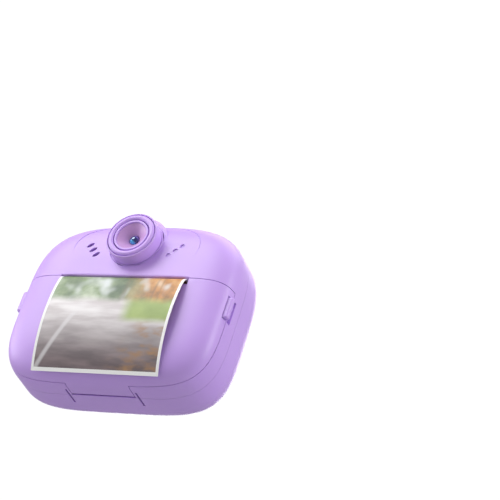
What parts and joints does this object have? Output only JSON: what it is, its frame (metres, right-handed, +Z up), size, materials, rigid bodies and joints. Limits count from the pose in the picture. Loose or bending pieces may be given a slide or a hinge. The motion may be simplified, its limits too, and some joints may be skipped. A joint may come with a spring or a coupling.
{
  "type": "kids instant print camera",
  "caption": "Pillow-shaped lilac kids camera that prints on a thermal roll: short lens barrel, paper door hinged at the base, side latches, rear screen and oval buttons.",
  "frame": {"origin": "on the flat underside, on the centre line, below the widest section of the body", "axes": "+X to the right seen from the front, -Y to the front where the lens points, +Z up"},
  "size_m": [0.0992, 0.0442, 0.08],
  "materials": {
    "lilac_shell": "fine satin moulded plastic",
    "pink_cone": "satin moulded plastic",
    "charcoal_panel": "fine matt",
    "black_plastic": "matt",
    "lens_glass": "coated glass",
    "screen_glass": "clear window over a lit picture",
    "steel": "plain",
    "foil": "satin foil",
    "rubber": "matt",
    "white_plastic": "satin",
    "thermal_paper": "smooth coated paper",
    "board_green": "solder mask",
    "silicone": "matt translucent"
  },
  "bodies": {
    "camera_body": {"front_casing": "lilac_shell", "rear_casing": "lilac_shell", "case_screw_1": "steel", "case_screw_2": "steel", "case_screw_3": "steel", "case_screw_4": "steel", "hinge_pin": "steel", "lens_base_ring": "lilac_shell", "lens_barrel": "lilac_shell", "lens_front_ring": "lilac_shell", "lens_cone": "pink_cone", "lens_glass": "lens_glass", "front_camera_module": "black_plastic", "printer_frame": "white_plastic", "print_head": "steel", "tear_bar": "steel", "stepper_motor": "steel", "paper_bay": "lilac_shell", "display_panel": "charcoal_panel", "lcd_window": "screen_glass", "lcd_module": "black_plastic", "keypad_sheet": "silicone", "microphone": "foil", "main_board": "board_green", "battery": "foil", "speaker": "black_plastic", "usb_port": "steel", "card_socket": "steel", "selfie_camera_module": "black_plastic", "selfie_lens": "lens_glass"},
    "paper_roll": {"paper_roll": "thermal_paper", "roll_core": "white_plastic"},
    "reduction_gear": {"reduction_gear": "white_plastic"},
    "motor_pinion": {"motor_pinion": "steel"},
    "memory_card": {"memory_card": "black_plastic"},
    "shutter_button": {"shutter_button": "lilac_shell"},
    "power_button": {"power_button": "lilac_shell"},
    "video_button": {"video_button": "lilac_shell"},
    "up_button": {"up_button": "lilac_shell"},
    "gallery_button": {"gallery_button": "lilac_shell"},
    "down_button": {"down_button": "lilac_shell"},
    "paper_door": {"paper_door": "lilac_shell", "platen_bush_left": "black_plastic", "platen_bush_right": "black_plastic", "latch_spring_left": "steel", "latch_spring_right": "steel", "print_sheet": "thermal_paper"},
    "latch_left": {"latch_left": "lilac_shell"},
    "latch_right": {"latch_right": "lilac_shell"},
    "platen": {"platen_roller": "rubber", "platen_shaft": "steel", "platen_gear": "white_plastic"}
  },
  "joints": [
    {"name": "door_hinge", "type": "hinge", "parent": "camera_body", "child": "paper_door", "pos_m": [0, -0.0089, 0.0026], "axis": [1, 0, 0], "range_deg": [0, 85]},
    {"name": "paper_roll_spin", "type": "hinge", "parent": "camera_body", "child": "paper_roll", "pos_m": [0, -0.0074, 0.0175], "axis": [1, 0, 0], "continuous": true},
    {"name": "platen_spin", "type": "hinge", "parent": "paper_door", "child": "platen", "pos_m": [0, -0.0155, 0.0428], "axis": [1, 0, 0], "continuous": true},
    {"name": "reduction_gear_spin", "type": "hinge", "parent": "camera_body", "child": "reduction_gear", "pos_m": [0.034, -0.0075, 0.0375], "axis": [1, 0, 0], "continuous": true},
    {"name": "motor_spin", "type": "hinge", "parent": "camera_body", "child": "motor_pinion", "pos_m": [0.034, 0.0002, 0.03414], "axis": [1, 0, 0], "continuous": true},
    {"name": "card_slide", "type": "slide", "parent": "camera_body", "child": "memory_card", "axis": [-1, 0, 0], "range_m": [0, 0.014]},
    {"name": "latch_left_press", "type": "slide", "parent": "paper_door", "child": "latch_left", "axis": [1, 0, 0], "range_m": [0, 0.0015], "stiffness_N_per_m": 300, "springref_m": -0.001, "deforming": ["latch_spring_left"]},
    {"name": "latch_right_press", "type": "slide", "parent": "paper_door", "child": "latch_right", "axis": [-1, 0, 0], "range_m": [0, 0.0015], "stiffness_N_per_m": 300, "springref_m": -0.001, "deforming": ["latch_spring_right"]},
    {"name": "shutter_button_press", "type": "slide", "parent": "camera_body", "child": "shutter_button", "axis": [0, -1, 0], "range_m": [0, 0.0008], "stiffness_N_per_m": 400, "springref_m": -0.0006},
    {"name": "power_button_press", "type": "slide", "parent": "camera_body", "child": "power_button", "axis": [0, -1, 0], "range_m": [0, 0.0008], "stiffness_N_per_m": 400, "springref_m": -0.0006},
    {"name": "video_button_press", "type": "slide", "parent": "camera_body", "child": "video_button", "axis": [0, -1, 0], "range_m": [0, 0.0008], "stiffness_N_per_m": 400, "springref_m": -0.0006},
    {"name": "up_button_press", "type": "slide", "parent": "camera_body", "child": "up_button", "axis": [0, -1, 0], "range_m": [0, 0.0008], "stiffness_N_per_m": 400, "springref_m": -0.0006},
    {"name": "gallery_button_press", "type": "slide", "parent": "camera_body", "child": "gallery_button", "axis": [0, -1, 0], "range_m": [0, 0.0008], "stiffness_N_per_m": 400, "springref_m": -0.0006},
    {"name": "down_button_press", "type": "slide", "parent": "camera_body", "child": "down_button", "axis": [0, -1, 0], "range_m": [0, 0.0008], "stiffness_N_per_m": 400, "springref_m": -0.0006}
  ],
  "couplings": [
    {"joint": "platen_spin", "follows": "paper_roll_spin", "ratio": -3.125},
    {"joint": "reduction_gear_spin", "follows": "paper_roll_spin", "ratio": 1.875},
    {"joint": "motor_spin", "follows": "paper_roll_spin", "ratio": -4.6875}
  ]
}
